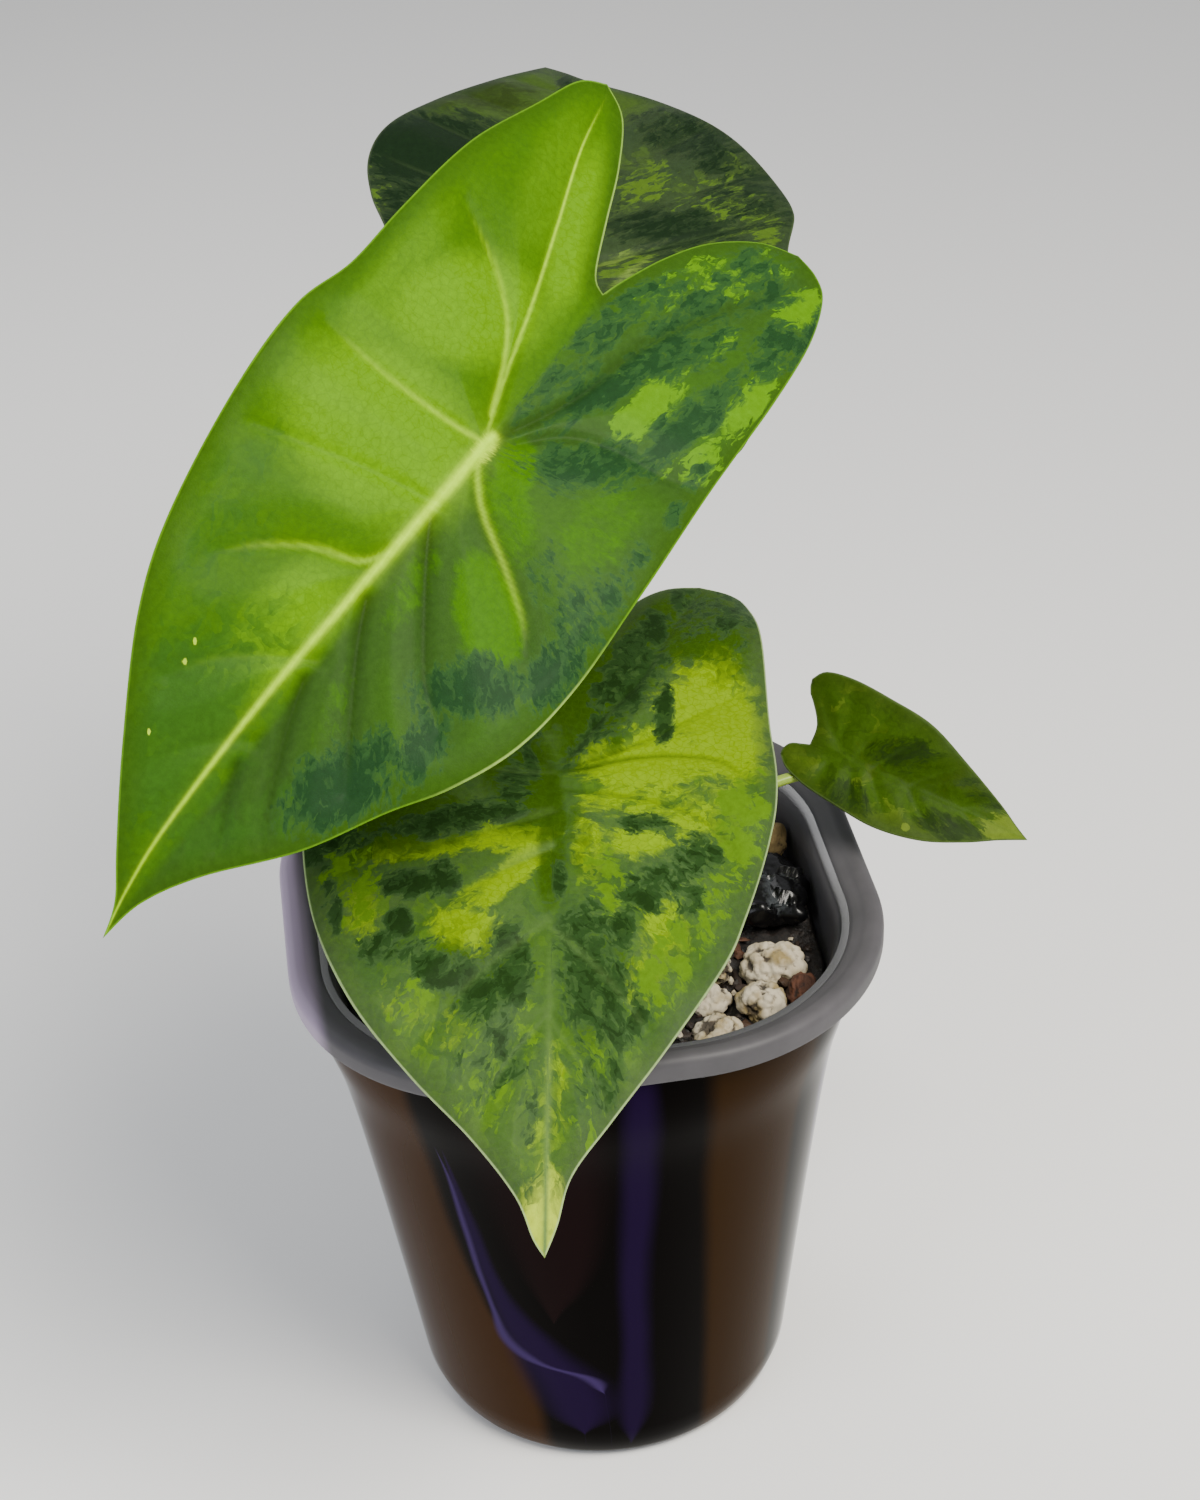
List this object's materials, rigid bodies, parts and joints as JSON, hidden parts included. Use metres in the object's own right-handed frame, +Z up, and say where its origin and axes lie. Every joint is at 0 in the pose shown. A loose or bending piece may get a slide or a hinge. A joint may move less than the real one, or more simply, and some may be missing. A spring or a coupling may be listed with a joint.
{
  "type": "potted variegated frydek alocasia house plant",
  "caption": "Potted aroid with arrow-shaped, marbled velvety leaves on arching petioles, in chunky mix, in a frosted liner inside a glossy dark cachepot; decorates a shelf or sill.",
  "frame": {"origin": "centre of the outer pot's flat base, on the surface it stands on", "axes": "+Z up through the pot's axis, -Y towards the viewer of the picture, +X to the right"},
  "size_m": [0.1407, 0.2045, 0.2393],
  "materials": {
    "glossy_pot": "mirror-gloss moulded plastic, near-black brown",
    "frosted_liner": "frosted see-through grey polypropylene",
    "aroid_mix": "wet, dark, fibrous bark and coir crumbs",
    "perlite": "chalky, porous, off-white",
    "charcoal": "black with silvery broken faces",
    "bark": "rough reddish-brown bark",
    "pumice": "dull tan, porous",
    "stem": "ringed, corky, brownish green",
    "petiole": "smooth, waxy, pale green",
    "marbled_blade": "velvety leaf, yellow-green marbled with dark blue-green, pale veins",
    "shaded_blade": "velvety leaf, dark green with yellow-green bands and pale veins",
    "green_blade": "satin leaf, mid green with a paler edge"
  },
  "bodies": {
    "root": {"outer_pot": "glossy_pot", "nursery_pot": "frosted_liner", "soil": "aroid_mix", "perlite_1": "perlite", "perlite_2": "perlite", "perlite_3": "perlite", "perlite_4": "perlite", "perlite_5": "perlite", "perlite_6": "perlite", "perlite_7": "perlite", "perlite_8": "perlite", "charcoal_1": "charcoal", "charcoal_2": "charcoal", "bark_1": "bark", "bark_2": "bark", "bark_3": "bark", "bark_4": "bark", "pumice_1": "pumice", "pumice_2": "pumice", "pumice_3": "pumice", "stem": "stem", "petiole_1": "petiole", "petiole_2": "petiole", "petiole_3": "petiole", "petiole_4": "petiole", "leaf_1": "marbled_blade", "leaf_2": "shaded_blade", "leaf_3": "marbled_blade", "leaf_4": "green_blade"}
  },
  "joints": []
}
